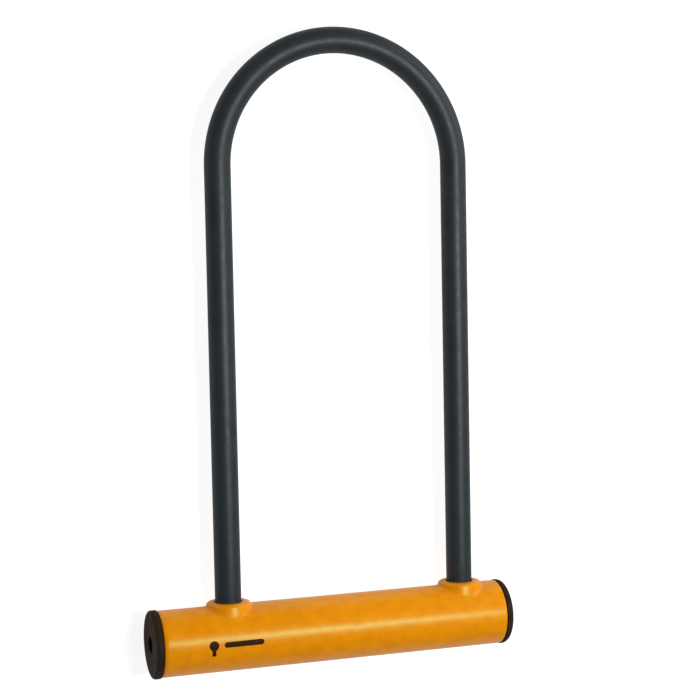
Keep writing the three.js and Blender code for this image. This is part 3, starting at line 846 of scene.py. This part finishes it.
def printed(shell, columns):
    """A thin raised shape on the sleeve's front, given as columns of (x, lowest, highest)."""
    rows = []
    for x, low, high in columns:
        row = []
        for radius, order in ((SLEEVE_R + PRINT_DEPTH, 1), (SLEEVE_R - PRINT_DEPTH, -1)):
            heights = [low + (high - low) * i / COLUMN_STEPS for i in range(COLUMN_STEPS + 1)]
            row += [(x, -math.sqrt(radius**2 - up**2), AXIS_Z + up) for up in heights[::order]]
        rows.append(row)
    shell.rows(rows)


def keyhole_columns(middle_x):
    half, length = KEYHOLE_MARK_SKIRT
    columns = []
    steps = KEYHOLE_MARK_STEPS
    round_part = [KEYHOLE_MARK_R * math.cos(math.pi * i / steps) for i in range(steps + 1)]
    for across in sorted(round_part + [-half, half]):
        reach = math.sqrt(max(KEYHOLE_MARK_R**2 - across**2, 0))
        low = -length if abs(across) < half - HAIR else -reach
        columns.append((middle_x + across, PRINT_UP + low, PRINT_UP + reach))
    return columns


def bar_columns(start_x, end_x):
    """A bar with round ends."""
    columns = []
    for share in (math.cos(math.pi * i / BAR_MARK_STEPS) for i in range(BAR_MARK_STEPS + 1)):
        inset = BAR_MARK_HALF * (1 - abs(share))
        reach = math.sqrt(BAR_MARK_HALF**2 - (BAR_MARK_HALF - inset) ** 2)
        x = end_x - inset if share > 0 else start_x + inset
        columns.append((x, PRINT_UP - reach, PRINT_UP + reach))
    return columns


def make_print():
    shell = Shell()
    middle_x = sleeve_low.x + PRINT_X
    printed(shell, keyhole_columns(middle_x))
    printed(shell, bar_columns(middle_x + BAR_MARK_X[0], middle_x + BAR_MARK_X[1]))
    return finish_piece(shell.build("printed_pictogram"), dark_ink(), "crossbar", "cap_black")


# ---- Floor, light and camera ----

FLOOR_SIZE = 60.0
FLOOR_GLOW = 0.88
MIRRORED_FLOOR_GLOW = 0.35  # as glossy surfaces see it, so that edges seen at a slant keep their colour
WORLD_GLOW = 0.15
CAMERA_AZIMUTH = -18.55
CAMERA_ELEVATION = 4.50
CAMERA_ROLL = -1.12
CAMERA_DISTANCE = 0.941
CAMERA_AIM = (4.9 * MM, 0, 150.2 * MM)  # from the point on the crossbar's axis midway between the legs
CAMERA_LENS = 90
CAMERA_SENSOR = 36
LIT_Z = 150 * MM  # the lights point at this height on the lock stood up


def direction(azimuth, elevation):
    """The way to a place at this azimuth, from the front towards +X, and elevation, on the lock stood up."""
    a, e = math.radians(azimuth), math.radians(elevation)
    return Vector((math.sin(a) * math.cos(e), -math.cos(a) * math.cos(e), math.sin(e)))


def make_camera():
    data = bpy.data.cameras.new("camera")
    data.lens = CAMERA_LENS
    data.sensor_width = CAMERA_SENSOR
    camera = bpy.data.objects.new("camera", data)
    bpy.context.scene.collection.objects.link(camera)
    aim = laid((MID_X + CAMERA_AIM[0], CAMERA_AIM[1], AXIS_Z + CAMERA_AIM[2]))
    away = laid_way(direction(CAMERA_AZIMUTH, CAMERA_ELEVATION))
    right = laid_way(direction(CAMERA_AZIMUTH + 90, 0))
    facing = Matrix((right, away.cross(right), away)).transposed()
    camera.location = aim + away * CAMERA_DISTANCE
    camera.rotation_euler = (facing @ Matrix.Rotation(math.radians(CAMERA_ROLL), 3, "Z")).to_euler()
    bpy.context.scene.camera = camera


def make_light(name, azimuth, elevation, distance, size, power):
    data = bpy.data.lights.new(name, "AREA")
    data.shape = "RECTANGLE"
    data.size, data.size_y = size
    data.energy = power
    light = bpy.data.objects.new(name, data)
    bpy.context.scene.collection.objects.link(light)
    away = laid_way(direction(azimuth, elevation))
    light.location = laid((MID_X, 0, LIT_Z)) + away * distance
    light.rotation_euler = away.to_track_quat("Z", "Y").to_euler()


def make_floor():
    half = FLOOR_SIZE / 2
    corners = [(x, y, cad_low.z) for x, y in ((-half, -half), (half, -half), (half, half), (-half, half))]
    mesh = bpy.data.meshes.new("floor")
    mesh.from_pydata(corners, [], [range(4)])
    floor = bpy.data.objects.new("floor", mesh)
    bpy.context.scene.collection.objects.link(floor)
    finish = Finish("light_table", roughness=0.9, specular=0.0)
    finish.colour(srgb(158, 158, 158), srgb(162, 162, 162), scale=3)
    finish.shader.inputs["Emission Color"].default_value = (1, 1, 1, 1)
    ray = finish.nodes.new("ShaderNodeLightPath")
    glow = finish.nodes.new("ShaderNodeMapRange")
    glow.inputs["To Min"].default_value = FLOOR_GLOW
    glow.inputs["To Max"].default_value = MIRRORED_FLOOR_GLOW
    finish.links.new(ray.outputs["Is Glossy Ray"], glow.inputs["Value"])
    finish.links.new(glow.outputs["Result"], finish.shader.inputs["Emission Strength"])
    floor.data.materials.append(finish.material)


def make_world():
    world = bpy.data.worlds.new("studio")
    world.use_nodes = True
    world.node_tree.nodes["Background"].inputs["Color"].default_value = (1, 1, 1, 1)
    world.node_tree.nodes["Background"].inputs["Strength"].default_value = WORLD_GLOW
    bpy.context.scene.world = world
    bpy.context.scene.view_settings.view_transform = "Standard"


make_camera()
make_world()
make_floor()
make_light("key_light", azimuth=15, elevation=1, distance=1.0, size=(0.2, 0.4), power=8)
make_light("side_light", azimuth=64, elevation=26, distance=1.2, size=(0.8, 0.5), power=4.5)
dress_cad_nodes()
make_sleeve()
make_key_cap()
make_blind_cap()
make_coat()
make_bar()
make_bushes()
make_drill_guard()
make_plug()
for side in LEG_XS:
    make_rod(f"rubber_pad_{side}", f"foot_pad_{side}", ON_Z, "crossbar", "rubber", PAD_BEVEL)
for end in ("cylinder", "blind_end"):
    make_rod(f"steel_rivet_{end}", f"{end}_rivet", ON_Z, "crossbar", "plain_steel", RIVET_BEVEL)
for number in range(1, PIN_COUNT + 1):
    node = f"driver_pin_{number}"
    make_rod(f"round_pin_{number}", node, ON_Z, node, "plain_steel", PIN_BEVEL)
    make_key_pin(number)
    make_spring(number)
make_print()
